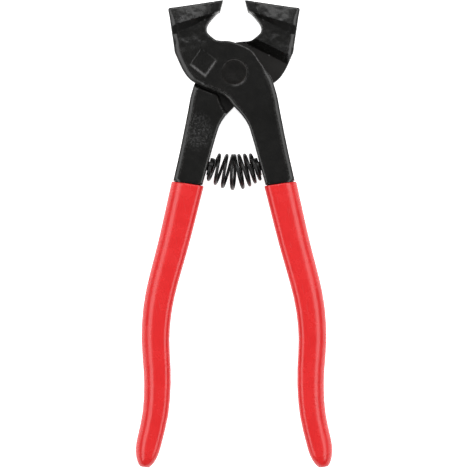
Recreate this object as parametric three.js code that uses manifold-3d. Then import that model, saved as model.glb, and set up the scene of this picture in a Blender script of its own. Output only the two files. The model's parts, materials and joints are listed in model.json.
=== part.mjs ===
// Lever nippers, 200 mm long: two identical forged levers crossing at a lap joint, carbide
// edges brazed to the jaws, a flush rivet as pivot, a barrel spring between the levers and
// dipped grips. Millimetres. +Y points to the jaw tips, +X to the right handle, +Z up through
// the thickness. The origin is on the pivot axis, at the rivet's lower end.
//
// Each lever is drawn as it lies when the jaws are shut, with the shut line on x = 0, jaw to
// the left and handle to the right. It is then opened by half the opening angle. The lower
// lever is the same forging turned over about the Y axis.

import * as THREE from 'three';
import { mergeVertices } from 'three/addons/utils/BufferGeometryUtils.js';
import Module from 'manifold-3d';

const wasm = await Module();
wasm.setup();

// ---------------------------------------------------------------- driving dimensions
const openAngle = 16.8;          // degrees between the levers' shut and open places
const laps = 6.05;               // thickness of one lap half
const lapGap = 0.3;              // running gap between the two lap faces
const rivetProud = 0.3;          // how far the rivet stands out of each side
const gap = 0.3;                 // clearance between pieces that meet
const runningFit = 0.1;          // radial clearance of the rivet in its bores

const jawReach = 31;             // pivot to the top of the jaws
const jawWidth = 24;             // shut line to the jaw's outer edge
const jawThick = 17;             // jaw thickness at the biting edge
const jawCorner = 0.5;           // rounding of the jaw's outer corner
const jawBand = 5;               // height of the full-thickness band under the jaw's top
const jawRamp = 5.5;             // length of the flare below that band
const jawTilt = 18.2;            // degrees, slope of the jaw's shoulder
const shoulderFoot = 13.4;       // pivot to the foot of the jaw's shoulder
const shoulderDraft = 2.6;       // how far the shoulder leans back over the lap's depth
const biteGap = 0.4;             // left between the edges when shut

const insertWidth = 3.6;         // carbide insert along the jaw's top
const insertHeight = 4.1;        // and down the mouth
const insertRelief = 2.2;        // how far its face falls back from the shut line

const discRadius = 12;           // swinging edge of the head
const mouthRoot = 13.4;          // pivot to the bottom of the mouth
const mouthHalf = 8.9;           // widest half-opening of the mouth
const mouthWide = 19;            // height of the widest place

const armThick = 10.4;           // lever between head and grip
const armWidth = 12.8;
const armInner = 6.3;            // shut line to the lever's inner edge at the grip's mouth
const heelWidth = 16.9;          // shut line to the outer edge where arm and head meet
const crotch = 16.4;             // pivot to the crossing of the inner edges when shut

const gripTop = 50;              // pivot to the grip's mouth
const handleReach = 173.6;       // pivot to the end of the grip
const gripWidthTop = 14;
const gripWidthEnd = 10.5;
const gripThick = 11.6;
const gripSkin = 0.9;            // coating thickness
const gripBevel = 1.6;           // corner of the grip's section
const gripCap = 10.5;            // length of the rounded end
const handleBow = 17.5;          // outermost place of the handle's centre line
const handleWaist = 12;          // innermost place below the bow
const handleHeel = 13.4;         // centre line at the end

const rivetRadius = 4;
const rivetHead = 5.5;
const rivetHeadDepth = 2;

const markHalfWidth = 6.2;       // blank four-sided relief on the jaw's outer face
const markHalfHeight = 6.6;
const markDepth = 0.5;
const markPlace = new THREE.Vector2(-12.4, 6.0);

const springReach = 41.5;        // pivot to the spring's seats
const springTurns = 7.5;
const springWire = 1.4;
const springEndRadius = 5.3;     // centre of the wire
const springBellyRadius = 7.2;
const springSag = 1.8;           // how far the middle hangs below its seats
const springEndPacking = 0.08;   // share by which the end turns are wound closer

const pegHead = 3.9;
const pegHeadLength = 2.4;
const pegShank = 2;
const pegDepth = 4;

// ---------------------------------------------------------------- values that follow
const midPlane = rivetProud + laps + lapGap / 2;
const rivetLength = 2 * midPlane;
const headHalf = laps + lapGap / 2;
const halfOpen = THREE.MathUtils.degToRad(openAngle / 2);
const lapFace = lapGap / 2;      // height of the upper lever's lap face above the mid plane
const tall = 4 * jawThick;       // taller than anything it cuts
const tangThick = gripThick - 2 * (gripSkin + gap);
const overrun = 1;               // cutters and profiles run this far past what they shape
const sweepSteps = 6;
const sweepRadius = 1.6 * crotch;
const handleLead = 6;            // the handle's line starts this far above the grip's mouth
const leadSlope = 2.6;           // its slope there, against the mean slope down the handle
const bandLap = 2;               // a band overruns the mouth by this
const bandSteps = 18;
const capSteps = 6;
const capTurn = 1.2;             // radians; the round end then closes with a short flat
const curveSteps = 4;            // chords per control point of a smooth curve
const mirrorSteps = 3;           // the same for the outline that cuts the pockets
const roundSides = 48;
const pegSides = 24;
const stepsPerTurn = 18;
const middleShare = 0.75;        // a cubic curve's middle follows its handles by this share
const samePlace = 1e-5;

// ---------------------------------------------------------------- solids and booleans
function toSolid(geometry) {
  const bare = geometry.clone();
  bare.deleteAttribute('normal');
  bare.deleteAttribute('uv');
  const merged = mergeVertices(bare, samePlace);
  return new wasm.Manifold(new wasm.Mesh({
    numProp: 3,
    vertProperties: new Float32Array(merged.attributes.position.array),
    triVerts: new Uint32Array(merged.index.array),
  }));
}

function toGeometry(solid) {
  const mesh = solid.getMesh();
  const geometry = new THREE.BufferGeometry();
  geometry.setAttribute('position', new THREE.BufferAttribute(mesh.vertProperties, 3));
  geometry.setIndex(new THREE.BufferAttribute(mesh.triVerts, 1));
  geometry.computeVertexNormals();
  return geometry;
}

// A plate of the given outline between two heights above the mid plane.
function plate(shape, low, high, bevel = 0) {
  const geometry = new THREE.ExtrudeGeometry(shape, {
    depth: high - low - 2 * bevel,
    curveSegments: curveSteps,
    bevelEnabled: bevel > 0,
    bevelThickness: bevel,
    bevelSize: bevel,
    bevelOffset: -bevel,
    bevelSegments: 1,
  });
  geometry.translate(0, 0, low + bevel);
  return geometry;
}

function turned(geometry, angle) {
  return geometry.clone().rotateZ(angle);
}

// ---------------------------------------------------------------- outlines in plan
// Outline of one lever from the tip of the jaw round to the grip's mouth, counter-clockwise.
// The points of its smooth stretches are given as shares of the driving dimension they follow.
function leverOutline() {
  const shape = new THREE.Shape();
  const mouthFoot = jawReach - insertHeight;
  shape.moveTo(-biteGap / 2, jawReach);
  shape.lineTo(jawCorner - jawWidth, jawReach);
  shape.quadraticCurveTo(-jawWidth, jawReach, -jawWidth, jawReach - jawCorner);
  shape.lineTo(-jawWidth, discRadius);
  shape.splineThru([
    new THREE.Vector2(-0.904 * jawWidth, 0.34 * discRadius),
    new THREE.Vector2(-0.79 * jawWidth, -0.06 * discRadius),
    new THREE.Vector2(-0.626 * jawWidth, -0.31 * discRadius),
    new THREE.Vector2(-0.63 * discRadius, -0.5 * crotch),
    new THREE.Vector2(-0.385 * discRadius, -0.655 * crotch),
    new THREE.Vector2(-0.2 * discRadius, -0.88 * crotch),
    new THREE.Vector2(0.1 * armInner, -1.15 * crotch),
    new THREE.Vector2(0.42 * armInner, -1.42 * crotch),
    new THREE.Vector2(0.56 * armInner, -0.56 * gripTop),
    innerFace()[0],
  ]);
  shape.lineTo(armInner, -gripTop);
  shape.lineTo(armInner + armWidth, -gripTop);
  shape.splineThru([
    new THREE.Vector2(1.07 * heelWidth, -0.73 * gripTop),
    new THREE.Vector2(1.02 * heelWidth, -0.4 * gripTop),
    new THREE.Vector2(heelWidth, -0.25 * gripTop),
    new THREE.Vector2(0.925 * heelWidth, -0.097 * gripTop),
    new THREE.Vector2(0.84 * heelWidth, -0.038 * gripTop),
    new THREE.Vector2(discRadius * Math.cos(0.24), discRadius * Math.sin(0.24)),
    new THREE.Vector2(discRadius * Math.cos(0.69), discRadius * Math.sin(0.69)),
    new THREE.Vector2(discRadius * Math.cos(1.04), discRadius * Math.sin(1.04)),
    new THREE.Vector2(0.05 * discRadius, 0.985 * mouthRoot),
    new THREE.Vector2(-0.38 * discRadius, 1.07 * mouthRoot),
    new THREE.Vector2(-0.75 * mouthHalf, 0.83 * mouthWide),
    new THREE.Vector2(-mouthHalf, mouthWide),
    new THREE.Vector2(-0.84 * mouthHalf, mouthWide + 0.43 * (mouthFoot - mouthWide)),
    new THREE.Vector2(-insertRelief, mouthFoot),
  ]);
  shape.closePath();
  return shape;
}

// Section of the carbide insert: its face runs from the biting edge back to the mouth.
function insertOutline(spare = 0) {
  const shape = new THREE.Shape();
  const foot = jawReach - insertHeight;
  shape.moveTo(-biteGap / 2 + spare, jawReach + spare);
  shape.lineTo(-biteGap / 2 - insertWidth - spare, jawReach + spare);
  shape.lineTo(-insertRelief - insertWidth - spare, foot - spare);
  shape.lineTo(-insertRelief + 2 * spare, foot - spare);
  shape.closePath();
  return shape;
}

// Centre line of the handle from the grip's mouth to its end. Each station is the share of the
// way down, and the distance from the shut line.
function handleLine() {
  const length = handleReach - gripTop;
  const mouth = armInner + armWidth / 2;
  const stations = [
    [-handleLead / length, mouth - (leadSlope * handleLead * (handleBow - mouth)) / length],
    [0, mouth],
    [0.2, mouth + 0.44 * (handleBow - mouth)],
    [0.4, handleBow],
    [0.54, handleBow - 0.11 * (handleBow - handleWaist)],
    [0.69, handleWaist + 0.24 * (handleBow - handleWaist)],
    [0.81, handleWaist],
    [0.92, handleWaist + 0.7 * (handleHeel - handleWaist)],
    [1, handleHeel],
  ];
  return new THREE.SplineCurve(stations.map(
    ([part, offset]) => new THREE.Vector2(offset, -(gripTop + part * length)),
  ));
}

// A band along the handle's centre line, inset from the grip's surface all round. It starts a
// little above the grip's mouth and has a round end.
function handleBand(inset, above) {
  const line = handleLine();
  const length = line.getLength();
  const end = length - inset;
  const capStart = end - gripCap;
  const places = [];
  for (let step = 0; step < bandSteps; step += 1) {
    places.push([THREE.MathUtils.lerp(handleLead - above, capStart, step / bandSteps), 1]);
  }
  for (let step = 0; step <= capSteps; step += 1) {
    const angle = (capTurn * step) / capSteps;
    places.push([capStart + (gripCap * Math.sin(angle)) / Math.sin(capTurn), Math.cos(angle)]);
  }
  const edges = [-1, 1].map((side) => places.map(([distance, round]) => {
    const centre = line.getPointAt(distance / length);
    const along = line.getTangentAt(distance / length);
    const part = (distance - handleLead) / (length - handleLead);
    const half = THREE.MathUtils.lerp(gripWidthTop, gripWidthEnd, part) / 2 - inset;
    const reach = side * half * round;
    return new THREE.Vector2(centre.x + reach * along.y, centre.y - reach * along.x);
  }));
  return new THREE.Shape([...edges[0], ...edges[1].reverse()]);
}

// The outline moved outward by a clearance, as seen in the other lever's frame.
function clearedMirror(shape, spare) {
  const points = shape.getPoints(mirrorSteps);
  if (points[0].distanceTo(points[points.length - 1]) < samePlace) {
    points.pop();
  }
  const moved = points.map((point, index) => {
    const before = points[(index + points.length - 1) % points.length];
    const after = points[(index + 1) % points.length];
    const along = after.clone().sub(before).normalize();
    return new THREE.Vector2(-(point.x + spare * along.y), point.y - spare * along.x);
  });
  return new THREE.Shape(moved.reverse());
}

// ---------------------------------------------------------------- cutters for the lever
// Everything the other lever sweeps below this one's lap face, from shut to open.
function lapSweep() {
  const low = -tall;
  const other = toSolid(plate(clearedMirror(leverOutline(), gap), low, -lapFace + lapGap));
  const reach = new THREE.CylinderGeometry(sweepRadius, sweepRadius, 2 * tall, roundSides);
  const near = other.intersect(toSolid(reach.rotateX(Math.PI / 2)));
  let swept = near;
  for (let step = 1; step <= sweepSteps; step += 1) {
    swept = swept.add(near.rotate([0, 0, (-openAngle * step) / sweepSteps]));
  }
  return swept;
}

// The clear space between the pivot and the jaw's leaning shoulder.
function shoulderCut() {
  const profile = new THREE.Shape([
    new THREE.Vector2(0, -tall),
    new THREE.Vector2(shoulderFoot + (shoulderDraft * tall) / laps, -tall),
    new THREE.Vector2(shoulderFoot, lapFace),
    new THREE.Vector2(0, lapFace),
  ]);
  return alongJaw(profile);
}

// A prism along X whose section is drawn with Y as across and Z as up.
function alongX(profile, width) {
  const geometry = new THREE.ExtrudeGeometry(profile, { depth: width, bevelEnabled: false });
  geometry.translate(0, 0, -width / 2);
  const axes = new THREE.Matrix4().makeBasis(
    new THREE.Vector3(0, 1, 0),
    new THREE.Vector3(0, 0, 1),
    new THREE.Vector3(1, 0, 0),
  );
  return geometry.applyMatrix4(axes);
}

function alongJaw(profile) {
  return toSolid(turned(alongX(profile, tall), THREE.MathUtils.degToRad(jawTilt)));
}

// Thickness along the lever: flared jaw, head and arm.
function sideProfile() {
  const upper = [
    [jawReach + overrun, jawThick / 2],
    [jawReach - jawBand, jawThick / 2],
    [jawReach - jawBand - jawRamp, headHalf],
    [-crotch, headHalf],
    [-1.6 * crotch, armThick / 2],
    [-gripTop - overrun, armThick / 2],
  ];
  const lower = upper.map(([y, z]) => [y, -z]).reverse();
  return new THREE.Shape([...upper, ...lower].map(([y, z]) => new THREE.Vector2(y, z)));
}

// The blank relief pressed into the jaw's outer face.
function markCut() {
  const shape = new THREE.Shape();
  shape.moveTo(markPlace.x, markPlace.y + markHalfHeight);
  shape.lineTo(markPlace.x - markHalfWidth, markPlace.y);
  shape.lineTo(markPlace.x, markPlace.y - markHalfHeight);
  shape.lineTo(markPlace.x + markHalfWidth, markPlace.y);
  shape.closePath();
  return toSolid(plate(shape, headHalf - markDepth, tall));
}

// ---------------------------------------------------------------- where the spring sits
// Two places on the lever's straight inner face, when shut.
function innerFace() {
  return [
    new THREE.Vector2(0.7 * armInner, -0.69 * gripTop),
    new THREE.Vector2(armInner, -gripTop),
  ];
}

// The spring's seat on that face: its place, and the direction it faces.
function springSeat() {
  const [top, bottom] = innerFace();
  const along = bottom.clone().sub(top);
  const part = (springReach + top.y) / (top.y - bottom.y);
  const place = top.clone().addScaledVector(along, part);
  along.normalize();
  return { place, inward: new THREE.Vector2(along.y, -along.x) };
}

// Puts a piece that was turned about Z, with z = 0 in the face, on the spring's seat.
function onSeat(geometry) {
  const { place, inward } = springSeat();
  const axes = new THREE.Matrix4().makeBasis(
    new THREE.Vector3(-inward.y, inward.x, 0),
    new THREE.Vector3(0, 0, 1),
    new THREE.Vector3(inward.x, inward.y, 0),
  );
  geometry.applyMatrix4(axes);
  return geometry.translate(place.x, place.y, 0);
}

function lathe(profile, sides) {
  return new THREE.LatheGeometry(
    profile.map(([radius, height]) => new THREE.Vector2(radius, height)),
    sides,
  ).rotateX(Math.PI / 2);
}

// ---------------------------------------------------------------- the pieces of one lever
function leverGeometry() {
  const blank = toSolid(plate(leverOutline(), -tall, tall));
  const tang = toSolid(plate(handleBand(gripSkin + gap, bandLap), -tangThick / 2, tangThick / 2));
  const bore = rivetRadius + runningFit;
  const head = rivetHead + runningFit;
  const hole = toSolid(lathe([
    [0, -tall],
    [bore, -tall],
    [bore, headHalf - rivetHeadDepth + rivetProud],
    [head, headHalf - rivetHeadDepth + rivetProud],
    [head, tall],
    [0, tall],
  ], roundSides));
  const pegHole = toSolid(onSeat(lathe([
    [0, -pegDepth - gap],
    [pegShank + gap, -pegDepth - gap],
    [pegShank + gap, pegHeadLength],
    [0, pegHeadLength],
  ], pegSides)));
  return toGeometry(
    blank
      .intersect(toSolid(alongX(sideProfile(), 2 * tall)))
      .add(tang)
      .subtract(lapSweep())
      .subtract(shoulderCut())
      .subtract(toSolid(plate(insertOutline(gap), -tall, tall)))
      .subtract(hole)
      .subtract(markCut())
      .subtract(pegHole),
  );
}

function insertGeometry() {
  return plate(insertOutline(), -jawThick / 2, jawThick / 2);
}

function pegGeometry() {
  const chamfer = pegHeadLength / 4;
  return onSeat(lathe([
    [0, -pegDepth],
    [pegShank, -pegDepth],
    [pegShank, gap],
    [pegHead, gap],
    [pegHead, gap + pegHeadLength - chamfer],
    [pegHead - chamfer, gap + pegHeadLength],
    [0, gap + pegHeadLength],
  ], pegSides));
}

function gripGeometry() {
  const whole = toSolid(plate(handleBand(0, bandLap), -gripThick / 2, gripThick / 2, gripBevel));
  const hollow = handleBand(gripSkin, 2 * bandLap);
  const core = toSolid(plate(hollow, -gripThick / 2 + gripSkin, gripThick / 2 - gripSkin));
  const below = new THREE.BoxGeometry(tall * 2, handleReach, tall);
  below.translate(0, -gripTop - gap - handleReach / 2, 0);
  return toGeometry(whole.subtract(core).intersect(toSolid(below)));
}

// ---------------------------------------------------------------- rivet and spring
function rivetGeometry() {
  const chamfer = rivetProud;
  const neck = rivetHeadDepth;
  return lathe([
    [0, 0],
    [rivetHead - chamfer, 0],
    [rivetHead, chamfer],
    [rivetHead, neck],
    [rivetRadius, neck],
    [rivetRadius, rivetLength - neck],
    [rivetHead, rivetLength - neck],
    [rivetHead, rivetLength - chamfer],
    [rivetHead - chamfer, rivetLength],
    [0, rivetLength],
  ], roundSides);
}

// The wire's centre line: a barrel-shaped coil about an arched axis between the two seats.
class SpringWire extends THREE.Curve {
  constructor() {
    super();
    const { place, inward } = springSeat();
    const origin = new THREE.Vector2();
    const seat = place.clone().addScaledVector(inward, gap + springWire / 2);
    seat.rotateAround(origin, halfOpen);
    const facing = inward.clone().rotateAround(origin, halfOpen);
    const pull = springSag / (middleShare * -facing.y);
    const inner = seat.clone().addScaledVector(facing, pull);
    this.axis = new THREE.CubicBezierCurve(
      new THREE.Vector2(-seat.x, seat.y),
      new THREE.Vector2(-inner.x, inner.y),
      inner,
      seat,
    );
  }

  getPoint(t, target = new THREE.Vector3()) {
    const along = t - (springEndPacking * Math.sin(2 * Math.PI * t)) / (2 * Math.PI);
    const centre = this.axis.getPointAt(along);
    const tangent = this.axis.getTangentAt(along);
    const belly = springBellyRadius - springEndRadius;
    const radius = springEndRadius + belly * Math.sin(Math.PI * along);
    const angle = 2 * Math.PI * springTurns * t;
    const reach = radius * Math.cos(angle);
    return target.set(
      centre.x - reach * tangent.y,
      centre.y + reach * tangent.x,
      radius * Math.sin(angle),
    );
  }
}

function springGeometry() {
  const section = new THREE.Shape();
  section.absarc(0, 0, springWire / 2, 0, 2 * Math.PI);
  return new THREE.ExtrudeGeometry(section, {
    curveSegments: curveSteps,
    steps: Math.round(springTurns * stepsPerTurn),
    extrudePath: new SpringWire(),
  });
}

// ---------------------------------------------------------------- finishes
const blackPaint = { color: 0x17181a, roughness: 0.42, metalness: 0.1 };
const springSteel = { color: 0x1c1c1e, roughness: 0.35, metalness: 0.7 };
const carbide = { color: 0x2b2c2e, roughness: 0.45, metalness: 0.6 };
const redCoating = { color: 0xe42a2c, roughness: 0.25, metalness: 0 };

function piece(name, geometry, finish) {
  const mesh = new THREE.Mesh(geometry, new THREE.MeshStandardMaterial(finish));
  mesh.name = name;
  return mesh;
}

// ---------------------------------------------------------------- assembly
const lever = leverGeometry();
const insert = insertGeometry();
const peg = pegGeometry();
const grip = gripGeometry();

function leverGroup(layer) {
  const group = new THREE.Group();
  group.add(
    piece(`${layer}_lever`, lever, blackPaint),
    piece(`${layer}_carbide_edge`, insert, carbide),
    piece(`${layer}_spring_peg`, peg, springSteel),
    piece(`${layer}_grip`, grip, redCoating),
  );
  return group;
}

const upper = leverGroup('upper');
upper.rotation.z = halfOpen;

const lower = leverGroup('lower');
lower.rotation.z = halfOpen;
const turnedOver = new THREE.Group();
turnedOver.rotation.y = Math.PI;
turnedOver.add(lower);

const atMidPlane = new THREE.Group();
atMidPlane.position.z = midPlane;
atMidPlane.add(upper, turnedOver, piece('return_spring', springGeometry(), springSteel));

const nippers = new THREE.Group();
nippers.add(atMidPlane, piece('pivot_rivet', rivetGeometry(), blackPaint));

export default nippers;
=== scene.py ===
# %% [markdown]
# # Lever nippers for glass and tile
# The tool is two copies of one forging that cross at a rivet, with a coil spring between the
# arms and vinyl-dipped handles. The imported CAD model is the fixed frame: it says where every
# piece lies and how it moves. This script gives each piece its forged, wound or dipped surface.

# %% Load the frame
import json
import math

import bpy
import numpy as np
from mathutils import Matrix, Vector, noise
from mathutils.geometry import delaunay_2d_cdt

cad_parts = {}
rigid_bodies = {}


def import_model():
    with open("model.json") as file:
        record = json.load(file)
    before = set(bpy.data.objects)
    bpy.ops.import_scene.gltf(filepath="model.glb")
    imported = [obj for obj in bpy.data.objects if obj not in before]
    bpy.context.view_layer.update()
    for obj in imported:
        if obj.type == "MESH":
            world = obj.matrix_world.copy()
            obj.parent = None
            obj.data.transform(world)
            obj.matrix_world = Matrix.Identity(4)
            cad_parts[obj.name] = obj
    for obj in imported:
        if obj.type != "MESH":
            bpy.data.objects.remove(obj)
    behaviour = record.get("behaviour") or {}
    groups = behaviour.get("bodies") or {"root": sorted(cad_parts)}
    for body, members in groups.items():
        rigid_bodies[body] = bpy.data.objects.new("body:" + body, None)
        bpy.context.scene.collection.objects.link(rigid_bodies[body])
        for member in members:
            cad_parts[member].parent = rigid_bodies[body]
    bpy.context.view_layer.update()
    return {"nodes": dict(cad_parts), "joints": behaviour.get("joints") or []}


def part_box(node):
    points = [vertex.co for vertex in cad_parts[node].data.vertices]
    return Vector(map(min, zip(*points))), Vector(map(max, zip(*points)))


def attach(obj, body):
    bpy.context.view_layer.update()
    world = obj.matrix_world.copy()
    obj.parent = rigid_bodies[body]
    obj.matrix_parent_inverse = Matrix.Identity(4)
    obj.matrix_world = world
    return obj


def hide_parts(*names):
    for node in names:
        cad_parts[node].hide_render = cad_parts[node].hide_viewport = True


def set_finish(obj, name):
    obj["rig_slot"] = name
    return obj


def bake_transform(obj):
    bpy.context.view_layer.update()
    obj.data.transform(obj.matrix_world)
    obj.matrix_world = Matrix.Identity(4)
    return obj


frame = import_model()

# %% [markdown]
# ## Measures taken from the frame
# Every size that the CAD model already settles is read from it: the mid plane and the head of
# the rivet from the rivet's box, the opening from the joint, the thickness from the levers.
# Shapes are worked out in millimetres, because the fine detail is a fraction of one, and are
# turned into metres when a mesh is made. The hammered skin of the jaw stands in waves, so its
# mean height lies a wave's depth below the box.

# %% Sizes read from the frame
MM = 0.001
JAW_WAVE_DEPTH = 0.11
rivet_low, rivet_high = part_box("pivot_rivet")
lever_low, lever_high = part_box("upper_lever")
MID = (rivet_low.z + rivet_high.z) / 2
TRAVEL = math.radians(frame["joints"][0]["range_deg"][1])
HALF_OPEN = TRAVEL / 2
RIVET_RADIUS = (rivet_high.x - rivet_low.x) / 2 / MM
RIVET_PROUD = 0.3
HEAD_HALF = (rivet_high.z - MID) / MM - RIVET_PROUD
JAW_HALF = (lever_high.z - MID) / MM - JAW_WAVE_DEPTH
print(f"mid plane {MID / MM:.2f} mm, each lever opens {math.degrees(HALF_OPEN):.1f} degrees")
print(f"half thickness: head {HEAD_HALF:.2f}, jaw {JAW_HALF:.2f} mm")

# %% [markdown]
# ## Outlines cut from the frame
# A piece's outline in plan is a section through its CAD solid. A section is a set of short
# cuts, one through each triangle that crosses the height. Chained end to end they make closed
# loops. The levers are worked in their shut place, where the jaw's biting line lies on x = 0,
# and both are made from the same outline, as the real ones come from the same dies.

# %% Section of a CAD node at a height
def turn(points, angle):
    c, s = math.cos(angle), math.sin(angle)
    return points @ np.array([[c, s], [-s, c]])


def area(loop):
    x, y = loop.T
    return 0.5 * np.sum(x * np.roll(y, -1) - y * np.roll(x, -1))


def section(node, height):
    """The largest loop of the node's section, counter-clockwise, in mm in the shut place."""
    mesh = frame["nodes"][node].data
    mesh.calc_loop_triangles()
    places = np.array([v.co for v in mesh.vertices]) / MM
    corners = np.array([t.vertices for t in mesh.loop_triangles])
    above = places[:, 2] > MID / MM + height
    follow = {}
    for tri in corners[above[corners].any(1) & ~above[corners].all(1)]:
        ends = []
        for a, b in ((0, 1), (1, 2), (2, 0)):
            p, q = places[tri[a]], places[tri[b]]
            if above[tri[a]] != above[tri[b]]:
                part = (MID / MM + height - p[2]) / (q[2] - p[2])
                ends.append((bool(above[tri[a]]), tuple(np.round(p + part * (q - p), 4)[:2])))
        ends.sort(reverse=True)
        follow[ends[0][1]] = ends[1][1]
    loops = []
    while follow:
        start, here = follow.popitem()
        loop = [start]
        while here != start and here in follow:
            loop.append(here)
            here = follow.pop(here)
        loops.append(np.array(loop))
    widest = turn(max(loops, key=lambda loop: abs(area(loop))), -HALF_OPEN)
    return widest if area(widest) > 0 else widest[::-1]


lever_cut = section("upper_lever", 3)
edge_cut = section("upper_carbide_edge", 3)
grip_cut = section("upper_grip", 0.1)
for title, loop in (("lever", lever_cut), ("carbide edge", edge_cut), ("grip", grip_cut)):
    print(f"{title}: {len(loop)} points, mm {np.round(loop.min(0), 1)} to {np.round(loop.max(0), 1)}")

# %% [markdown]
# ## Fairing an outline
# The section is made of straight chords. The points that lie on a chord are dropped first.
# Between two real corners a smooth curve then runs through the points that are left, and new
# points are set along it at even steps, so the edge of the forging has no flats.

# %% Simplify, split at corners and resample
def simplify(loop, slack=0.01):
    keep = list(range(len(loop)))
    changed = True
    while changed:
        changed = False
        for place in range(len(keep) - 1, -1, -1):
            a, b, c = (loop[keep[(place + k) % len(keep)]] for k in (-1, 0, 1))
            along = (c - a) / (np.linalg.norm(c - a) + 1e-9)
            away = abs((b - a)[0] * along[1] - (b - a)[1] * along[0])
            if away < slack and np.dot(b - a, c - b) > 0:
                keep.pop(place)
                changed = True
    return loop[keep]


def smooth_run(points, step):
    """Evenly spaced points on a smooth curve through the given ones, without the last."""
    gaps = np.linalg.norm(np.diff(points, axis=0), axis=1)
    length = np.concatenate([[0], np.cumsum(gaps)])
    slopes = np.gradient(points, length, axis=0) if len(points) > 2 else np.tile(
        (points[1] - points[0]) / gaps[0], (2, 1))
    count = max(2, round(length[-1] / step) + 1)
    t = np.linspace(0, length[-1], count)[:-1]
    i = np.clip(np.searchsorted(length, t, side="right") - 1, 0, len(gaps) - 1)
    u = ((t - length[i]) / gaps[i])[:, None]
    g = gaps[i][:, None]
    return ((2 * u**3 - 3 * u**2 + 1) * points[i] + (u**3 - 2 * u**2 + u) * g * slopes[i]
            + (3 * u**2 - 2 * u**3) * points[i + 1] + (u**3 - u**2) * g * slopes[i + 1])


def fair(loop, step=0.5, corner=28, longest=3.0):
    loop = simplify(loop)
    pieces = []
    for a, b in zip(loop, np.roll(loop, -1, axis=0)):
        parts = max(1, math.ceil(np.linalg.norm(b - a) / longest))
        pieces.append(a + (b - a) * np.arange(parts)[:, None] / parts)
    loop = np.concatenate(pieces)
    ahead = np.roll(loop, -1, axis=0) - loop
    heading = np.arctan2(ahead[:, 1], ahead[:, 0])
    bend = np.abs((heading - np.roll(heading, 1) + np.pi) % (2 * np.pi) - np.pi)
    turns = np.flatnonzero(bend > math.radians(corner))
    loop = np.roll(loop, -turns[0], axis=0)
    turns = [*(turns - turns[0]), len(loop)]
    closed = np.vstack([loop, loop[:1]])
    return np.concatenate([smooth_run(closed[a:b + 1], step) for a, b in zip(turns, turns[1:])])


def crossings(loop, y):
    """Leftmost and rightmost place where the loop crosses a height y."""
    a, b = loop, np.roll(loop, -1, axis=0)
    hit = (a[:, 1] > y) != (b[:, 1] > y)
    a, b = a[hit], b[hit]
    x = a[:, 0] + (b[:, 0] - a[:, 0]) * (y - a[:, 1]) / (b[:, 1] - a[:, 1])
    return x.min(), x.max()


GRIP_TOP = grip_cut[:, 1].max()
TANG_END = GRIP_TOP - 2.5


def cut_off(loop, low):
    """The part of the loop above y = low, closed by a straight cut."""
    above = loop[:, 1] > low
    start = np.flatnonzero(above & ~np.roll(above, 1))[0]
    loop, above = np.roll(loop, -start, axis=0), np.roll(above, -start)
    kept = loop[above]
    left, right = crossings(np.roll(loop, 1, axis=0), low)
    first_right = kept[0][0] > kept[-1][0]
    ends = ((right, low), (left, low)) if first_right else ((left, low), (right, low))
    return np.vstack([ends[0], kept, ends[1]])


outline = fair(cut_off(simplify(lever_cut), TANG_END))
print("faired lever outline:", len(outline), "points, area", round(area(outline)), "mm2")

# %% [markdown]
# ## How a drop forging is built here
# The lever is forged hot between two dies, so each face is a gentle landscape with flats, ramps
# and sloping flanks, and the dies' parting line runs round the middle of its sides. Boxes
# joined together would not give that, so each face is a height field: a fine sheet of
# triangles over the outline, with a height worked out for each point. The distance to the
# outline is needed first, because chamfers and worn edges follow it.

# %% Distance to an outline
INSET_SLACK = 0.93


def signed_distance(points, loop):
    """Distance from each point to the loop, positive inside, and the loop's nearest point."""
    a = loop
    step = np.roll(loop, -1, axis=0) - loop
    found, nearest = np.empty(len(points)), np.empty(len(points), int)
    for first in range(0, len(points), 2000):
        p = points[first:first + 2000, None]
        part = np.clip(np.sum((p - a) * step, -1) / np.sum(step * step, -1), 0, 1)
        gaps = np.linalg.norm(p - a - part[..., None] * step, axis=-1)
        rise = np.where(np.abs(step[:, 1]) < 1e-12, 1e-12, step[:, 1])
        reach = a[:, 0] + step[:, 0] * (p[..., 1] - a[:, 1]) / rise
        spans = (a[:, 1] > p[..., 1]) != (a[:, 1] + step[:, 1] > p[..., 1])
        inside = (spans & (p[..., 0] < reach)).sum(1) % 2 == 1
        rows = slice(first, first + len(p))
        nearest[rows] = gaps.argmin(1)
        found[rows] = np.where(inside, 1, -1) * gaps.min(1)
    return found, nearest


def unit(rows):
    return rows / np.linalg.norm(rows, axis=1)[:, None]


def inward(loop):
    """Unit vectors that point into the loop from each of its points."""
    ahead = unit(np.roll(loop, -1, axis=0) - np.roll(loop, 1, axis=0))
    return np.column_stack([-ahead[:, 1], ahead[:, 0]])


def inset(loop, distance):
    """The loop moved inward, point by point, where that leaves it at the right distance."""
    moved = loop + distance * inward(loop)
    clear = signed_distance(moved, loop)[0] > INSET_SLACK * distance
    return moved[clear]


def circle(sides):
    angle = np.linspace(0, 2 * np.pi, sides, endpoint=False)
    return np.column_stack([np.cos(angle), np.sin(angle)])


# %% [markdown]
# ## A sheet of triangles that follows the features
# An even grid would break up every ridge and chamfer into steps. So rings of points run inside
# the outline, close together where the chamfer bends, and grid points that lie near a feature
# line are pulled onto it. A Delaunay triangulation then joins them all.

# %% Points and triangles of one face
RINGS = (0.14, 0.32, 0.6, 1.0, 1.5, 2.1, 2.8)
GRID = 0.52
ROW_STEP = 0.866
CLOSEST = 0.3


def pull(points, field, level, reach=0.5 * GRID):
    """Moves points that lie near the line field = level onto it."""
    tiny = 0.01
    value = field(points)
    across = np.column_stack([
        field(points + (tiny, 0)) - field(points - (tiny, 0)),
        field(points + (0, tiny)) - field(points - (0, tiny)),
    ]) / (2 * tiny)
    steep = np.maximum(np.sum(across**2, axis=1), 1e-6)
    move = ((level - value) / steep)[:, None] * across
    near = np.linalg.norm(move, axis=1) < reach
    return np.where(near[:, None], points + move, points)


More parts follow.
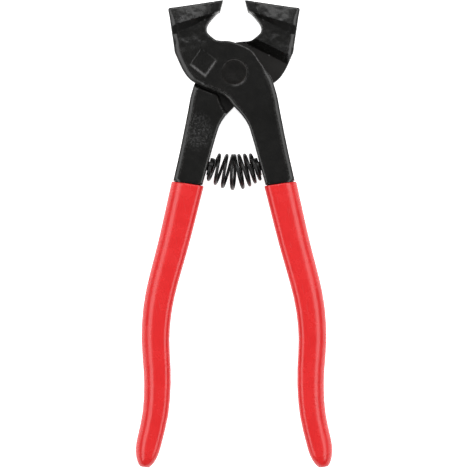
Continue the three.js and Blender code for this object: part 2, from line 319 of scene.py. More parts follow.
def face_points(loop, holes, lines):
    low, high = loop.min(0), loop.max(0)
    rows = []
    for i, y in enumerate(np.arange(low[1], high[1], GRID * ROW_STEP)):
        x = np.arange(low[0] + (i % 2) * GRID / 2, high[0], GRID)
        rows.append(np.column_stack([x, np.full(len(x), y)]))
    grid = np.concatenate(rows)
    grid = grid[signed_distance(grid, loop)[0] > RINGS[-1] + 0.6 * GRID]
    for hole in holes:
        grid = grid[signed_distance(grid, hole)[0] < -0.5 * GRID]
    for field, level in lines:
        grid = pull(grid, field, level)
    inner = np.concatenate([*(inset(loop, ring) for ring in RINGS), grid])
    for hole in holes:
        inner = inner[signed_distance(inner, hole)[0] < -0.05]
    cell = np.round(inner / (CLOSEST * GRID)).astype(int)
    first = np.unique(cell, axis=0, return_index=True)[1]
    return inner[np.sort(first)]


def triangulate(loop, holes=(), lines=()):
    """Points and triangles over the outline, and the points along each of its loops."""
    loops = [loop, *holes]
    points = np.concatenate([*loops, face_points(loop, holes, lines)])
    ends = np.cumsum([len(ring) for ring in loops])
    runs = [range(end - len(ring), end) for ring, end in zip(loops, ends)]
    edges = [(i, k) for run in runs for i, k in zip(run, [*run[1:], run[0]])]
    made = delaunay_2d_cdt([Vector(p) for p in points], edges, [], 0, 1e-5)
    places = np.array([tuple(v) for v in made[0]])
    corner = np.array(made[2])
    middle = places[corner].mean(1)
    kept = signed_distance(middle, loop)[0] > 0
    for hole in holes:
        kept &= signed_distance(middle, hole)[0] < 0
    became = {old: new for new, olds in enumerate(made[3]) for old in olds}
    return places, corner[kept], [[became[i] for i in run] for run in runs]


# %% [markdown]
# ## From two faces to one closed piece
# The same triangles serve the outer and the inner face, the inner ones turned round. Walls
# join them along every loop. Halfway down a wall, the outline stands proud by the draft that
# lets the forging leave its dies, and the faces' own rims are drawn in by that much.

# %% Closed piece from an outer and an inner face
def placed_upper(points):
    """From mm in the shut place, heights above the mid plane, to the row frame."""
    flat = turn(points[:, :2], HALF_OPEN)
    return np.column_stack([flat, points[:, 2] + MID / MM]) * MM


def placed_lower(points):
    """The lower lever is the upper one turned over about the Y axis."""
    return placed_upper(points) * (-1, 1, -1) + (0, 0, 2 * MID)


SIDES = (("upper", placed_upper), ("lower", placed_lower))


def closed_piece(places, corner, rims, top, bottom, draft):
    """Points and faces of the solid between two height fields over the same triangles."""
    n = len(places)
    flat = places.copy()
    middle, starts = [], []
    for rim in rims:
        loop = places[rim]
        flat[rim] += inward(loop) * draft[rim][:, None]
        height = (top[rim] + bottom[rim]) / 2
        starts.append(2 * n + sum(len(m) for m in middle))
        middle.append(np.column_stack([loop, height]))
    points = np.vstack([np.column_stack([flat, top]), np.column_stack([flat, bottom]), *middle])
    faces = [tuple(t) for t in corner] + [tuple(n + t[::-1]) for t in corner]
    for rim, start in zip(rims, starts):
        for i, here in enumerate(rim):
            k = (i + 1) % len(rim)
            after = rim[k]
            faces.append((here, start + i, start + k, after))
            faces.append((start + i, n + here, n + after, start + k))
    return points, faces


def add_mesh(name, points, faces, masks=None, sharp=34):
    mesh = bpy.data.meshes.new(name)
    mesh.from_pydata(points.tolist(), [], [tuple(int(i) for i in face) for face in faces])
    mesh.validate()
    mesh.shade_smooth()
    mesh.set_sharp_from_angle(angle=math.radians(sharp))
    for title, values in (masks or {}).items():
        attribute = mesh.attributes.new(title, "FLOAT", "POINT")
        attribute.data.foreach_set("value", np.asarray(values, np.float32))
    piece = bpy.data.objects.new(name, mesh)
    bpy.context.scene.collection.objects.link(piece)
    return piece


# %% [markdown]
# ## The heights of the lever's faces
# Seen from the side, the lever is thin at the arm, a little thicker at the head, and flares to
# the jaw. A flare runs slantwise over the jaw: a valley line parallel to the shoulder, a ramp
# that narrows towards the mouth, a ridge, and a long land that falls away to the jaw's top. The
# land falls most in the middle of the jaw and runs out towards its two ends.

# %% Feature lines
JAW_TILT = math.radians(18.2)
SHOULDER_FOOT, SHOULDER_TOP = 13.4, 16.9
VALLEY = 25.6
RIDGE_TILT = math.radians(8.3)
RIDGE = 26.6
LAND_FALL, LEAST_SHARE = 0.85, 0.25
LAND_OUTER, LAND_INNER = -23.0, -4.0
PANEL_FALL, PANEL_START, PANEL_RUN = 0.4, SHOULDER_TOP - 2, 9.0
ARM_HALF = 5.2
HEAD_END, ARM_START = -15.0, -27.0
JAW_TOP = lever_cut[:, 1].max()
LAP_HALF = 0.15
MARK = np.array([-12.4, 6.0])
MARK_HALF = np.array([6.2, 6.6])
MARK_DEPTH, MARK_FLANK = 0.32, 0.2


def along_jaw(points, tilt=JAW_TILT):
    return points[:, 1] * math.cos(tilt) - points[:, 0] * math.sin(tilt)


def along_ridge(points):
    return along_jaw(points, RIDGE_TILT)


def mark_field(points):
    """0 in the middle of the four-sided relief, 1 on its rim."""
    return np.sum(np.abs(points - MARK) / MARK_HALF, axis=1)


def ease(t):
    t = np.clip(t, 0, 1)
    return t * t * (3 - 2 * t)


def body_height(points):
    """Half thickness of the lever before its edges are broken."""
    valley, ridge = along_jaw(points) - VALLEY, along_ridge(points) - RIDGE
    up = np.clip(valley / np.maximum(valley - ridge, 0.4), 0, 1)
    top_left = np.maximum(JAW_TOP * math.cos(RIDGE_TILT) - points[:, 0] * math.sin(RIDGE_TILT)
                          - RIDGE, 0.5)
    across = points[:, 0]
    share = ease((across - LAND_OUTER) / 5) * ease((LAND_INNER - across) / 7)
    share = LEAST_SHARE + (1 - LEAST_SHARE) * share
    fall = share * LAND_FALL * np.clip(ridge / top_left, 0, 1)
    fall += PANEL_FALL * ease((along_jaw(points) - PANEL_START) / PANEL_RUN) * (1 - up)
    arm = ease((points[:, 1] - HEAD_END) / (ARM_START - HEAD_END))
    return HEAD_HALF + (JAW_HALF - HEAD_HALF) * up - fall + (ARM_HALF - HEAD_HALF) * arm


# %% [markdown]
# The edges of the forging are broken by chamfers of different widths: broad down the jaw's
# cheek and the arm's outer side, narrow round the mouth and along the jaw's top. The width is
# set along the outline and smoothed, so one chamfer runs out into the next. The jaw and its
# carbide edge are ground as one, so their shared outline runs past the edge's seat.

# %% The jaw's outline with its carbide edge in place
BITE_SIDE = -2.5
SEAT_SIDE, SEAT_FOOT = -6.7, 26.2
edge_corners = simplify(edge_cut)
bite = edge_corners[edge_corners[:, 0] > BITE_SIDE]
bite = bite[np.argsort(bite[:, 1])]
edge_seat = (outline[:, 0] > SEAT_SIDE) & (outline[:, 1] > SEAT_FOOT)
first = np.flatnonzero(edge_seat & ~np.roll(edge_seat, 1))[0]
rolled, cut = np.roll(outline, -first, axis=0), np.roll(edge_seat, -first)
face_line = bite[0] + (bite[1] - bite[0]) * np.linspace(0, 1, 10)[:, None]
top_line = bite[1] + (rolled[~cut][0] - bite[1]) * np.linspace(0, 1, 14)[1:-1, None]
whole = np.vstack([face_line, top_line, rolled[~cut]])
print("biting face from", np.round(bite[0], 2), "to", np.round(bite[-1], 2), "mm")


# %% Chamfers along the outline
HEEL_CHAMFER = 2.1
RUN_OUT, RUN_OUT_REACH = 3.5, 9


def chamfer_widths(loop):
    x, y = loop.T
    regions = [
        (y > JAW_TOP - 0.6, 0.45),          # the jaw's top
        ((x < -14.5) & (y > -5), 2.6),      # the cheek
        ((y > 20) & (x > -12), 0.7),        # the mouth, down to its widest place
        ((y > 12.6) & (x > -12), 0.5),      # the root of the mouth
        ((x > 0) & (y > -1.5), 0.6),        # the round of the head
        ((x < 2.5) & (y > -19), 1.5),       # below the cheek
        (x < 10, 1.2),                      # the arm's inner side
    ]
    width = np.select([held for held, _ in regions], [w for _, w in regions], HEEL_CHAMFER)
    kernel = np.exp(-0.5 * (np.arange(-RUN_OUT_REACH, RUN_OUT_REACH + 1) / RUN_OUT) ** 2)
    return np.convolve(np.pad(width, RUN_OUT_REACH, "wrap"), kernel / kernel.sum(), "valid")


CHAMFER_DROP, CHAMFER_CURVE = 0.45, 1.5
RIM_DROP, RIM_WIDTH = 0.28, 0.5
TANG_ROUND, TANG_REST = 4.7, 0.2
ROUND_START, ROUND_END = GRIP_TOP + 1.2, GRIP_TOP - 1.0


def edge_drop(points, distance, width):
    """How far the face falls near the outline: a hollow chamfer with a rounded outer rim, which
    turns into the full round of the tang where the arm enters the grip."""
    chamfer = CHAMFER_DROP * width * np.clip(1 - distance / width, 0, 1) ** CHAMFER_CURVE
    chamfer += RIM_DROP * np.clip(1 - distance / RIM_WIDTH, 0, 1) ** 2
    far = TANG_ROUND - np.minimum(distance, TANG_ROUND)
    full_round = TANG_ROUND - np.sqrt(TANG_ROUND**2 - far**2)
    share = ease((points[:, 1] - ROUND_START) / (ROUND_END - ROUND_START))
    return chamfer + share * (np.minimum(full_round, TANG_ROUND - TANG_REST) - chamfer)


def forge_waves(points, size, depth, seed):
    """The faint unevenness that scale and die wear leave on a forged face."""
    return np.array([depth * noise.fractal(Vector((x / size, y / size, seed)), 0.7, 2.0, 3)
                     for x, y in points])


widths = chamfer_widths(whole)
print("chamfers from", round(widths.min(), 2), "to", round(widths.max(), 2), "mm")

# %% [markdown]
# ## The lap face
# The two levers are halved at the crossing, like a lap joint in wood. On its inner side each
# keeps its full thickness only where the other never swings: beyond the jaw's leaning shoulder,
# and along the arm past the pocket that the other lever's head needs. The pocket's edge is
# found by swinging the mirrored outline through the whole travel. Far from the crossing the
# distance is not worked out but set to FAR.

# %% How far each point is from the other lever's swing
SWING_STEPS = 7
POCKET_WALL = 1.1
POCKET_GAP = 0.35
POCKET_LOW, POCKET_HIGH = -40.0, 2.0
FAR = 9.0


def swing_distance(points):
    """Distance to the space that the other lever sweeps; negative inside it."""
    away = np.where(points[:, 1] < POCKET_LOW, FAR, -FAR)
    near = (points[:, 1] > POCKET_LOW) & (points[:, 1] < POCKET_HIGH)
    away[near] = FAR
    for angle in np.linspace(0, TRAVEL, SWING_STEPS):
        seen = turn(points[near], angle) * (-1, 1)
        away[near] = np.minimum(away[near], -signed_distance(seen, outline)[0])
    return away


def full_depth(points, swing):
    """1 where the lever keeps its full thickness on the inner side, 0 over the lap face."""
    jaw = np.clip((along_jaw(points) - SHOULDER_FOOT) / (SHOULDER_TOP - SHOULDER_FOOT), 0, 1)
    arm = np.zeros(len(points))
    low = along_jaw(points) < 0
    arm[low] = np.clip((swing[low] - POCKET_GAP) / POCKET_WALL, 0, 1)
    return np.maximum(jaw, arm)


# %% Triangles of the lever
HOLE_GAP, HOLE_SIDES = 0.12, 64
rivet_hole = (RIVET_RADIUS + HOLE_GAP) * circle(HOLE_SIDES)
lines = [
    (along_jaw, SHOULDER_FOOT), (along_jaw, SHOULDER_TOP), (along_jaw, VALLEY),
    (along_ridge, RIDGE), (mark_field, 1.0), (mark_field, 1.0 - MARK_FLANK),
    (swing_distance, POCKET_GAP), (swing_distance, POCKET_GAP + POCKET_WALL),
]
places, corner, rims = triangulate(outline, [rivet_hole], lines)
print("lever sheet:", len(places), "points,", len(corner), "triangles")

# %% [markdown]
# ## The two forgings
# Both levers come from the same sheet. The outer face is the body's height less the chamfer,
# with the blank four-sided relief pressed in and a shallow sink beside the rivet, deeper on the
# side the hammer leaned to. The inner face is the same body wherever the lever keeps its full
# depth, and the lap face elsewhere.

# %% Heights of the lever
WAVE_SIZE, WAVE_DEPTH = 5.5, 0.04
JAW_WAVE_SIZE, JAW_WAVE_RUN = 2.8, 6.0
OUTER_SEED, INNER_SEED = 3.0, 43.0
LAP_ROUND, LAP_DROP = 0.4, 0.2
DRAFT, TIP_PLAIN, TIP_RUN = 0.22, 2.5, 2.0
SINK_WIDTH, SINK_DEPTH, SINK_EVEN = 0.9, 0.26, 0.4
SINK_WAY = np.array([0.77, -0.64])


def worked_body(points):
    """Half thickness with the edges broken, the distance to the outline, and the chamfer."""
    distance, nearest = signed_distance(points, whole)
    distance = np.maximum(distance, 0)
    width = widths[nearest]
    return body_height(points) - edge_drop(points, distance, width), distance, width


def skin_waves(points, seed):
    """Forging waves, with shorter and deeper ones over the hammered jaw."""
    jaw = ease((along_jaw(points) - SHOULDER_FOOT) / JAW_WAVE_RUN)
    return (forge_waves(points, WAVE_SIZE, WAVE_DEPTH, seed)
            + jaw * forge_waves(points, JAW_WAVE_SIZE, JAW_WAVE_DEPTH, seed + 7))


body, distance, width = worked_body(places)
relief = MARK_DEPTH * np.clip((1.0 - mark_field(places)) / MARK_FLANK, 0, 1)
from_hole = np.linalg.norm(places, axis=1) - RIVET_RADIUS
lean = places @ SINK_WAY / np.maximum(np.linalg.norm(places, axis=1), RIVET_RADIUS)
lean = np.maximum(SINK_EVEN + (1 - SINK_EVEN) * lean, 0)
relief += SINK_DEPTH * lean * np.clip(1 - from_hole / SINK_WIDTH, 0, 1)
top = body - relief + skin_waves(places, OUTER_SEED)
swing = swing_distance(places)
depth = full_depth(places, swing)
lap = LAP_HALF + LAP_DROP * np.clip(1 - distance / LAP_ROUND, 0, 1) ** 2
bottom = lap * (1 - depth) - depth * (body + skin_waves(places, INNER_SEED))
tip = np.clip((JAW_TOP - TIP_PLAIN - places[:, 1]) / TIP_RUN, 0, 1)
lever_points, lever_faces = closed_piece(places, corner, rims, top, bottom, DRAFT * tip)
print("lever piece:", len(lever_points), "points,", len(lever_faces), "faces")

# %% [markdown]
# Four masks are stored on the points, for the finishes to use. `rim` is where hands and the
# bench rub the paint close to an edge. It also holds painted highlights: on the relief's lower
# flanks, on the lower-right side of the ring round the rivet, and along the pocket's edge. The
# land mask covers the jaw's top land. It is painted paler there, a painted sheen where the land
# turns to the light, and it takes more scratches. `scale` is a patch of heavy forging scale below
# the head of the lower lever. `lap` is the lap face, bare in part and painted paler, a painted
# lift of the shade in the pocket. Bands are in mm, and the strength of each is a share of the full.

# %% Masks and the two pieces
SCALE_PLACE, SCALE_SIZE = np.array([11.6, -27.3]), np.array([7.5, 10.0])
SCALE_CORE, SCALE_FADE = 1.6, 1.3
EDGE_BAND = 0.5
CREST_BAND, CREST_WEAR = 0.22, 0.55
# The flank, ring and pocket strengths below are painted highlights, made paler where light falls.
FLANK_HIGHLIGHT = 0.8
RING_PLACE, RING_BAND, RING_HIGHLIGHT = 0.35, 0.25, 0.7
POCKET_BAND, POCKET_HIGHLIGHT = 0.3, 0.6
WALL_WEAR = 0.15
LAND_BEFORE, LAND_BLEND = 0.2, 0.6
BARE_DEPTH = 0.02


def band(away, size):
    return np.exp(-(away / size) ** 2)


def lever_masks(with_scale):
    rim, land_sheen_and_scratches, scale, lap_bare_and_lit = np.zeros((4, len(lever_points)))
    n = len(places)
    near = band(distance, EDGE_BAND) + CREST_WEAR * band(distance - width, CREST_BAND)
    flank = np.abs(mark_field(places) - 1 + MARK_FLANK / 2) / MARK_FLANK
    # Painted highlight: only the relief's lower flanks, which face the light, are made paler.
    near += FLANK_HIGHLIGHT * (places[:, 1] < MARK[1]) * np.clip(1 - flank, 0, 1)
    # Painted highlight on the lower-right side of the ring round the rivet.
    near += RING_HIGHLIGHT * lean * band(from_hole - RING_PLACE, RING_BAND)
    # Painted highlight line along the pocket's edge on the inner face.
    pocket_edge = band(swing - POCKET_GAP - POCKET_WALL, POCKET_BAND)
    rim[:n] = np.minimum(near, 1)
    rim[n:2 * n] = np.minimum(near + POCKET_HIGHLIGHT * pocket_edge, 1)
    rim[2 * n:] = WALL_WEAR
    # Painted sheen: the jaw's top land is marked to be painted paler; the same mask sets its
    # scratches.
    land_sheen_and_scratches[:n] = land_sheen_and_scratches[n:2 * n] = ease((along_ridge(places) - RIDGE + LAND_BEFORE) / LAND_BLEND)
    patch = np.linalg.norm((places - SCALE_PLACE) / SCALE_SIZE, axis=1)
    scale[n:2 * n] = with_scale * ease(SCALE_CORE - SCALE_FADE * patch)
    # The lap face is bare in part and painted paler, a painted lift of the shade in the pocket.
    lap_bare_and_lit[n:2 * n] = depth < BARE_DEPTH
    return {"rim": rim, "land_sheen_and_scratches": land_sheen_and_scratches, "scale": scale, "lap": lap_bare_and_lit}


for side, placed in SIDES:
    forging = add_mesh(f"{side}_forging", placed(lever_points), lever_faces,
                       lever_masks(side == "lower"))
    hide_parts(f"{side}_lever")
    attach(forging, f"{side}_half")
    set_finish(forging, "black_paint")

# %% [markdown]
# ## Carbide edges
# A small block of carbide is brazed into the top inner corner of each jaw and ground together
# with it, so its ends follow the jaw's own land and chamfer. It is made as the same kind of
# height field over its own outline, drawn out to close the brazed joint at its two hidden
# sides.

# %% Carbide edges
BRAZE = 0.27
BRAZE_BAND, BRAZE_WALL_WEAR = 0.3, 0.5
edge_loop = edge_corners.copy()
back = edge_loop[:, 0] < edge_loop[:, 0].mean()
foot = edge_loop[:, 1] < edge_loop[:, 1].mean()
edge_loop[back, 0] -= BRAZE
edge_loop[foot, 1] -= BRAZE
edge_outline = fair(edge_loop)
edge_places, edge_corner, edge_rims = triangulate(edge_outline, [], [(along_ridge, RIDGE)])
edge_body, edge_distance, _ = worked_body(edge_places)
edge_top = edge_body + skin_waves(edge_places, OUTER_SEED)
edge_points, edge_faces = closed_piece(
    edge_places, edge_corner, edge_rims, edge_top, -edge_top, np.zeros(len(edge_places)))
edge_rim = np.full(len(edge_points), BRAZE_WALL_WEAR)
edge_rim[:2 * len(edge_places)] = np.tile(band(edge_distance, BRAZE_BAND), 2)
for side, placed in SIDES:
    tip_piece = add_mesh(f"{side}_brazed_edge", placed(edge_points), edge_faces,
                         {"rim": edge_rim})
    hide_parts(f"{side}_carbide_edge")
    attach(tip_piece, f"{side}_half")
    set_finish(tip_piece, "carbide")
print("carbide edge:", len(edge_points), "points")

# %% [markdown]
# ## Dipped grips
# Each handle is dipped in liquid vinyl and cured. The coating follows the tang's section: flat
# above and below, with a broad round down the outer side and a tighter one down the inner,
# where the fingers lie. It is lofted here through rings across the handle. The width of a ring
# comes from the CAD outline, its section from four arcs and the flats between them.

# %% Section of a grip
OUTER_ROUND, INNER_ROUND = 6.2, 3.1
LARGEST_SHARE = 0.96
ARC_STEPS = 14


def grip_section(half_width, half_thick):
    """A ring of points: rounds of two sizes, the outer one on the +x side."""
    made = []
    for side, up, size in ((1, 1, OUTER_ROUND), (-1, 1, INNER_ROUND),
                           (-1, -1, INNER_ROUND), (1, -1, OUTER_ROUND)):
        wide, high = min(size, LARGEST_SHARE * half_width), min(size, LARGEST_SHARE * half_thick)
        turn_by = np.linspace(0, np.pi / 2, ARC_STEPS)
        if side != up:
            turn_by = turn_by[::-1]
        made += [(side * (half_width - wide * (1 - math.cos(a))),
                  up * (half_thick - high * (1 - math.sin(a)))) for a in turn_by]
    return np.array(made)


print("grip section:", len(grip_section(6, 5)), "points")

# %% Loft a grip
GRIP_HALF = (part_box("upper_grip")[1].z - MID) / MM
GRIP_SKIN = 0.9
MOUTH_ROLL = 0.55
END_DOME, END_THICK, END_CURVE = 9.0, 0.3, 2.2
END_CAP = 0.16
DIP_ACROSS, DIP_ALONG, DIP_SHARE = 9, 22, 0.008
GRIP_END = grip_cut[:, 1].min() + END_CAP


def grip_ring(y, skin=0.0):
    """One ring of the grip; skin sets it inside the grip's surface."""
    left, right = crossings(grip_cut, min(max(y, GRIP_END + 0.02), GRIP_TOP - 0.02))
    dome = np.clip((y - GRIP_END) / END_DOME, 0, 1)
    thick = END_THICK + (1 - END_THICK) * math.sqrt(1 - (1 - dome) ** END_CURVE)
    centre, half_width = (left + right) / 2, (right - left) / 2
    x, z = grip_section(half_width - skin, GRIP_HALF * thick - skin).T
    wave = np.array([noise.noise(Vector((a / DIP_ACROSS, y / DIP_ALONG, b / DIP_ACROSS)))
                     for a, b in zip(x, z)])
    sunk = 1 + DIP_SHARE * (wave - 0.5)
    return np.column_stack([centre + x * sunk, np.full(len(x), y), z * sunk])


mouth = [grip_ring(GRIP_TOP - 5 + k, GRIP_SKIN) for k in (0, 2, 4)]
mouth += [grip_ring(GRIP_TOP - MOUTH_ROLL * (1 - math.sin(a)), 0.5 * GRIP_SKIN * (1 - math.cos(a)))
          for a in np.linspace(math.pi, 0, 9)]
shaft = [grip_ring(y) for y in np.arange(GRIP_TOP - MOUTH_ROLL - 0.8, GRIP_END + END_DOME, -1.6)]
dome = [grip_ring(GRIP_END + END_DOME * (1 - math.sin(a))) for a in np.linspace(0, math.pi / 2, 14)]
end_middle = dome[-1].mean(0)
close = [end_middle + (dome[-1] - end_middle) * k - (0, END_CAP * (1 - k), 0) for k in (0.7, 0.35)]
grip_rings = [*mouth, *shaft, *dome, *close]


def loft(rings):
    """Points and faces of a closed tube through the rings."""
    count = len(rings[0])
    points = np.vstack([*rings, rings[0].mean(0), rings[-1].mean(0)])
    faces = []
    for row in range(len(rings) - 1):
        for i in range(count):
            k = (i + 1) % count
            a, b = row * count, (row + 1) * count
            faces.append((a + i, a + k, b + k, b + i))
    last = (len(rings) - 1) * count
    for i in range(count):
        k = (i + 1) % count
        faces.append((len(points) - 2, k, i))
        faces.append((last + i, last + k, len(points) - 1))
    return points, faces


grip_points, grip_faces = loft(grip_rings)
for side, placed in SIDES:
    grip = add_mesh(f"{side}_dipped_grip", placed(grip_points), grip_faces, sharp=60)
    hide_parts(f"{side}_grip")
    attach(grip, f"{side}_half")
    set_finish(grip, "red_coating")
print("grip:", len(grip_rings), "rings,", len(grip_points), "points")

# %% [markdown]
# ## Turned pieces
# The rivet was a round bar, hammered down into countersinks until its ends were flush. Its
# head is given as steps in from the rim and down from the top.
# The pegs that hold the spring are turned. Both are a profile swept round an axis, with every
# corner rounded, because a sharp turned edge catches no light.

# %% Turn a profile
def turned_piece(profile, sides=72):
    """Points and faces of a profile of (radius, height) rows turned about Z, low end first."""
    ring = circle(sides)
    return loft([np.column_stack([r * ring, np.full(sides, h)]) for r, h in profile])


def rounded(profile, radius=0.22, steps=4):
    """The profile with its inner corners replaced by short arcs."""
    profile = np.array(profile, float)
    made = [profile[0]]
    for before, here, after in zip(profile, profile[1:], profile[2:]):
        cut = min(radius, 0.45 * np.linalg.norm(here - before), 0.45 * np.linalg.norm(after - here))
        a = here + cut * (before - here) / np.linalg.norm(before - here)
        b = here + cut * (after - here) / np.linalg.norm(after - here)
        for t in np.linspace(0, 1, steps):
            made.append((1 - t) ** 2 * a + 2 * t * (1 - t) * here + t * t * b)
    return [*made, profile[-1]]


# %% The rivet
RIVET_SUNK = 0.05
RIVET_CORE, RIVET_SHANK = (0.4, 0.16), (4.0, 2.4)
RIVET_HEAD = [(2.6, 0.03), (1.1, 0.0), (0.4, 0.02), (0.0, 0.09), (0.0, 2.0)]
RIVET_BREAK = 0.2
FACET_SIZE, FACET_DEPTH, FACETS_ABOVE = 2.2, 0.05, 5
RIVET_BAND = 0.08
rivet_half = HEAD_HALF - RIVET_SUNK
drops = [RIVET_CORE, *[(RIVET_RADIUS - inside, drop) for inside, drop in RIVET_HEAD], RIVET_SHANK]
profile = [(r, rivet_half - drop) for r, drop in drops]
profile = rounded([*profile, *[(r, -h) for r, h in profile[::-1]]], RIVET_BREAK)[::-1]
rivet_points, rivet_faces = turned_piece(profile)
swell = np.array([noise.noise(Vector((x / FACET_SIZE, y / FACET_SIZE, z)))
                  for x, y, z in rivet_points])
height = rivet_points[:, 2]
rivet_points[:, 2] += FACET_DEPTH * swell * np.sign(height) * (np.abs(height) > FACETS_ABOVE)
edge_near = np.linalg.norm(rivet_points[:, :2], axis=1) / RIVET_RADIUS
rivet = add_mesh("set_rivet", rivet_points * MM + (0, 0, MID), rivet_faces,
                 {"rim": band(1 - edge_near, RIVET_BAND)})
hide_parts("pivot_rivet")
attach(rivet, "lower_half")
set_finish(rivet, "rivet_paint")
print("rivet:", len(rivet_points), "points")

# %% [markdown]
# ## The spring's seats
# The spring stands between two flats on the arms' inner sides, with its ends over the pegs. A
# seat is where the outline's inner edge passes the pegs' height, and it faces square to that
# edge.

# %% Seats and pegs
SPRING_REACH, SEAT_FROM, SEAT_TO = 41.5, 38.0, 47.0
WIRE = 1.4
PEG_GAP = 0.3
PEG_CORE, PEG_SHANK, PEG_FACE, PEG_HEAD = 0.3, 2.0, 3.2, 3.9
PEG_ROOT, PEG_SIDE, PEG_TALL = 4.0, 1.7, 2.4
seat = np.array([crossings(outline, -SPRING_REACH)[0], -SPRING_REACH])
near, far = (np.array([crossings(outline, -y)[0], -y]) for y in (SEAT_FROM, SEAT_TO))
edge_way = (far - near) / np.linalg.norm(far - near)
seat_way = np.array([edge_way[1], -edge_way[0]])
print("seat at", np.round(seat, 2), "facing", np.round(seat_way, 3))

peg_profile = rounded([
    (PEG_CORE, -PEG_ROOT), (PEG_SHANK, -PEG_ROOT), (PEG_SHANK, PEG_GAP), (PEG_HEAD, PEG_GAP),
    (PEG_HEAD, PEG_GAP + PEG_SIDE), (PEG_FACE, PEG_GAP + PEG_TALL), (PEG_CORE, PEG_GAP + PEG_TALL)])
peg_points, peg_faces = turned_piece(peg_profile, 48)
across = np.array([-seat_way[1], seat_way[0]])
peg_flat = seat + peg_points[:, [0]] * across + peg_points[:, [2]] * seat_way
peg_local = np.column_stack([peg_flat, -peg_points[:, 1]])
for side, placed in SIDES:
    peg = add_mesh(f"{side}_turned_peg", placed(peg_local), peg_faces)
    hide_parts(f"{side}_spring_peg")
    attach(peg, f"{side}_half")
    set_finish(peg, "spring_steel")

# %% [markdown]
# ## The spring
# A barrel spring is wound wider in the middle. It is pushed in between the arms, so its axis
# hangs in an arch and the coils fan out below. The wire is a tube along a helix about that
# arch. The pitch drifts a little from one end to the other, as it does on a hand-set winder.

# %% Axis and helix
TURNS = 7.5
FIRST_TURN = 0.25
END_RADIUS, BELLY_RADIUS = 5.3, 7.2
SAG = 2.4
PITCH_DRIFT = 0.2
ARCH_BEND = 0.75
TURN_STEPS, WIRE_SIDES = 40, 14
right_seat = turn((seat + (PEG_GAP + WIRE / 2) * seat_way)[None], HALF_OPEN)[0]
right_way = turn(seat_way[None], HALF_OPEN)[0]
handle = right_seat + right_way * SAG / (ARCH_BEND * -right_way[1])
flip = np.array([-1, 1])
arch = np.array([right_seat * flip, handle * flip, handle, right_seat])


def on_arch(t):
    t = t[:, None]
    weights = ((1 - t) ** 3, 3 * t * (1 - t) ** 2, 3 * t * t * (1 - t), t**3)
    return sum(w * p for w, p in zip(weights, arch))


fine = np.linspace(0, 1, 400)
run = np.concatenate([[0], np.cumsum(np.linalg.norm(np.diff(on_arch(fine), axis=0), axis=1))])
wire_steps = int(TURNS * TURN_STEPS)
t = np.linspace(0, 1, wire_steps + 1)
along = t + PITCH_DRIFT * t * (1 - t)
even = np.interp(along * run[-1], run, fine)
centre = on_arch(even)
tangent = unit(np.gradient(centre, axis=0))
radius = END_RADIUS + (BELLY_RADIUS - END_RADIUS) * np.sin(np.pi * along)
angle = 2 * np.pi * (TURNS * t + FIRST_TURN)
radial = np.column_stack([-tangent[:, 1] * np.cos(angle), tangent[:, 0] * np.cos(angle),
                          np.sin(angle)])
wire_line = np.column_stack([centre, np.zeros(len(t))]) + radius[:, None] * radial
wire_way = unit(np.gradient(wire_line, axis=0))
side_way = unit(np.cross(wire_way, radial))
out_way = np.cross(side_way, wire_way)

# %% The wire
wire_circle = WIRE / 2 * circle(WIRE_SIDES)
wire_rings = [p + wire_circle[:, :1] * o + wire_circle[:, 1:] * s
              for p, o, s in zip(wire_line, out_way, side_way)]
wire_points, wire_faces = loft(wire_rings)
spring = add_mesh("barrel_spring", wire_points * MM + (0, 0, MID), wire_faces, sharp=60)
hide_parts("return_spring")
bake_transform(spring)
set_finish(spring, "spring_steel")
print("spring wire:", len(wire_points), "points, half span", round(right_seat[0], 2), "mm")

# %% [markdown]
# ## Building node trees
# A finish is a small tree of shader nodes. Short helpers keep the trees readable: one adds a
# node and wires its inputs, one blends two colours, one turns a mask into a range of values,
# and the others do sums, read a stored mask, give a place on the piece and make noise there.

# %% Helpers for node trees
def add_node(tree, kind, values=None, **settings):
    made = tree.nodes.new("ShaderNode" + kind)
    for key, value in settings.items():
        setattr(made, key, value)
    for name, value in (values or {}).items():
        if isinstance(value, bpy.types.NodeSocket):
            tree.links.new(value, made.inputs[name])
        else:
            made.inputs[name].default_value = value
    return made


def blend_colour(tree, mask, first, second):
    made = add_node(tree, "Mix", {0: mask, 6: first, 7: second}, data_type="RGBA")
    return made.outputs[2]


def spread(tree, mask, low, high, start=0.0, end=1.0):
    values = {"Value": mask, "From Min": start, "From Max": end, "To Min": low, "To Max": high}
    return add_node(tree, "MapRange", values).outputs["Result"]


def combine(tree, operation, first, second):
    return add_node(tree, "Math", {0: first, 1: second}, operation=operation).outputs[0]


def times(tree, first, second):
    return combine(tree, "MULTIPLY", first, second)


def plus(tree, first, second):
    return combine(tree, "ADD", first, second)


def stored(tree, name):
    return add_node(tree, "Attribute", attribute_name=name).outputs["Fac"]


def on_piece(tree):
    return add_node(tree, "TexCoord").outputs["Object"]


def noise_value(tree, where, scale, detail, **more):
    values = {"Vector": where, "Scale": scale, "Detail": detail, **more}
    return add_node(tree, "TexNoise", values).outputs["Fac"]


def new_group(name, inputs, outputs):
    tree = bpy.data.node_groups.new(name, "ShaderNodeTree")
    for title, value in inputs.items():
        socket = tree.interface.new_socket(title, in_out="INPUT", socket_type="NodeSocketFloat")
        socket.default_value = value
    for title in outputs:
        tree.interface.new_socket(title, in_out="OUTPUT", socket_type="NodeSocketFloat")
    return tree, tree.nodes.new("NodeGroupInput"), tree.nodes.new("NodeGroupOutput")


def place_group(tree, group, **values):
    made = tree.nodes.new("ShaderNodeGroup")
    made.node_tree = group
    for name, value in values.items():
        made.inputs[name].default_value = value
    return made


# %% [markdown]
# ## Grain shared by every finish
# Paint over a forging, drawn wire and dipped vinyl all have a skin of small bumps. They differ
# in the size of the bumps and in how much a second, coarser unevenness shows. One group makes
# both from noise, and each finish sets its own sizes in millimetres.

